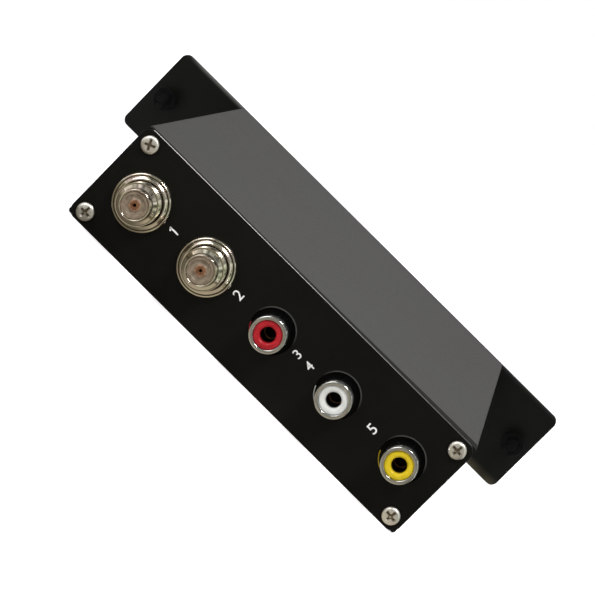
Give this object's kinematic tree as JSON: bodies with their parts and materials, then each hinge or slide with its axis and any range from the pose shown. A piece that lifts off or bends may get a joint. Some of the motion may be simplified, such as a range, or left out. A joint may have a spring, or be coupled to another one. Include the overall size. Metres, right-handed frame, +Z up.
{
  "type": "rf modulator",
  "caption": "Slim rack module with a black case, eared faceplate, threaded coaxial jacks, phono jacks, trimmers, a lever switch and captive thumbscrews.",
  "frame": {"origin": "centre of the underside of the case", "axes": "+Z up through the top of the case, +Y along the case towards the faceplate, +X along the faceplate; the jacks point towards -Y"},
  "size_m": [0.143, 0.1782, 0.026],
  "materials": {
    "case_paint": "satin black",
    "panel_paint": "satin black with white marks",
    "faceplate_paint": "semi-gloss black with white marks",
    "screw_nickel": "dull nickel",
    "black_screw": "black oxide",
    "circuit_board": "solder mask",
    "tinned_steel": "tinned",
    "black_plastic": "moulded",
    "chip_epoxy": "moulded epoxy",
    "can_metal": "drawn can",
    "ferrite": "sintered ferrite",
    "capacitor_sleeve": "shrink sleeve",
    "chip_ceramic": "ceramic with tinned ends",
    "lamp_green": "tinted lens",
    "switch_red": "moulded",
    "lever_white": "moulded",
    "trimmer_blue": "moulded",
    "rotor_ivory": "moulded",
    "clip_steel": "black oxide",
    "warm_nickel": "warm bright nickel",
    "bright_nickel": "bright nickel",
    "insulator_beige": "moulded",
    "contact_copper": "phosphor bronze",
    "red_plastic": "moulded",
    "white_plastic": "moulded",
    "yellow_plastic": "moulded"
  },
  "bodies": {
    "case": {"upper_case_shell": "case_paint", "lower_case_shell": "case_paint", "connector_panel": "panel_paint", "connector_panel_screws": "screw_nickel", "faceplate": "faceplate_paint", "faceplate_screws": "black_screw", "main_board": "circuit_board", "rf_jack_barrel": "warm_nickel", "rf_jack_nut": "warm_nickel", "rf_jack_insulator": "insulator_beige", "rf_jack_contact": "contact_copper", "power_jack_barrel": "warm_nickel", "power_jack_nut": "warm_nickel", "power_jack_insulator": "insulator_beige", "power_jack_contact": "contact_copper", "lock_washers": "tinned_steel", "red_jack_housing": "red_plastic", "red_jack_shell": "bright_nickel", "red_jack_contact": "contact_copper", "white_jack_housing": "white_plastic", "white_jack_shell": "bright_nickel", "white_jack_contact": "contact_copper", "yellow_jack_housing": "yellow_plastic", "yellow_jack_shell": "bright_nickel", "yellow_jack_contact": "contact_copper", "jack_collars": "black_plastic", "shield_frame": "tinned_steel", "shield_lid": "tinned_steel", "modulator_chip": "chip_epoxy", "controller_chip": "chip_epoxy", "saw_filter": "can_metal", "quartz_crystal": "can_metal", "voltage_regulator": "chip_epoxy", "power_inductor": "ferrite", "electrolytic_capacitors": "capacitor_sleeve", "chip_parts": "chip_ceramic", "status_lamp": "lamp_green", "lamp_spacer": "black_plastic", "trimmer_body_1": "trimmer_blue", "trimmer_body_2": "trimmer_blue", "trimmer_body_3": "trimmer_blue", "channel_switch_body": "switch_red"},
    "left_clip": {"left_retaining_clip": "clip_steel"},
    "left_thumb": {"left_thumbscrew": "black_screw"},
    "right_clip": {"right_retaining_clip": "clip_steel"},
    "right_thumb": {"right_thumbscrew": "black_screw"},
    "trimmer_1": {"trimmer_rotor_1": "rotor_ivory"},
    "trimmer_2": {"trimmer_rotor_2": "rotor_ivory"},
    "trimmer_3": {"trimmer_rotor_3": "rotor_ivory"},
    "lever_1": {"switch_lever_1": "lever_white"},
    "lever_2": {"switch_lever_2": "lever_white"},
    "lever_3": {"switch_lever_3": "lever_white"},
    "lever_4": {"switch_lever_4": "lever_white"},
    "lever_5": {"switch_lever_5": "lever_white"},
    "lever_6": {"switch_lever_6": "lever_white"},
    "lever_7": {"switch_lever_7": "lever_white"},
    "lever_8": {"switch_lever_8": "lever_white"}
  },
  "joints": [
    {"name": "trimmer_1_turn", "type": "hinge", "parent": "case", "child": "trimmer_1", "pos_m": [-0.02845, 0.0785, 0.013], "axis": [0, 1, 0], "range_deg": [-135, 135]},
    {"name": "trimmer_2_turn", "type": "hinge", "parent": "case", "child": "trimmer_2", "pos_m": [-0.00936, 0.0785, 0.013], "axis": [0, 1, 0], "range_deg": [-135, 135]},
    {"name": "trimmer_3_turn", "type": "hinge", "parent": "case", "child": "trimmer_3", "pos_m": [0.00973, 0.0785, 0.013], "axis": [0, 1, 0], "range_deg": [-135, 135]},
    {"name": "lever_1_slide", "type": "slide", "parent": "case", "child": "lever_1", "axis": [0, 0, 1], "range_m": [0, 0.0019]},
    {"name": "lever_2_slide", "type": "slide", "parent": "case", "child": "lever_2", "axis": [0, 0, 1], "range_m": [0, 0.0019]},
    {"name": "lever_3_slide", "type": "slide", "parent": "case", "child": "lever_3", "axis": [0, 0, 1], "range_m": [0, 0.0019]},
    {"name": "lever_4_slide", "type": "slide", "parent": "case", "child": "lever_4", "axis": [0, 0, 1], "range_m": [0, 0.0019]},
    {"name": "lever_5_slide", "type": "slide", "parent": "case", "child": "lever_5", "axis": [0, 0, 1], "range_m": [0, 0.0019]},
    {"name": "lever_6_slide", "type": "slide", "parent": "case", "child": "lever_6", "axis": [0, 0, 1], "range_m": [0, 0.0019]},
    {"name": "lever_7_slide", "type": "slide", "parent": "case", "child": "lever_7", "axis": [0, 0, 1], "range_m": [0, 0.0019]},
    {"name": "lever_8_slide", "type": "slide", "parent": "case", "child": "lever_8", "axis": [0, 0, 1], "range_m": [0, 0.0019]},
    {"name": "left_thumb_pull", "type": "slide", "parent": "case", "child": "left_clip", "axis": [0, 1, 0], "range_m": [0, 0.004]},
    {"name": "left_thumb_turn", "type": "hinge", "parent": "left_clip", "child": "left_thumb", "pos_m": [-0.0665, 0.0807, 0.013], "axis": [0, 1, 0], "continuous": true},
    {"name": "right_thumb_pull", "type": "slide", "parent": "case", "child": "right_clip", "axis": [0, 1, 0], "range_m": [0, 0.004]},
    {"name": "right_thumb_turn", "type": "hinge", "parent": "right_clip", "child": "right_thumb", "pos_m": [0.0665, 0.0807, 0.013], "axis": [0, 1, 0], "continuous": true}
  ]
}
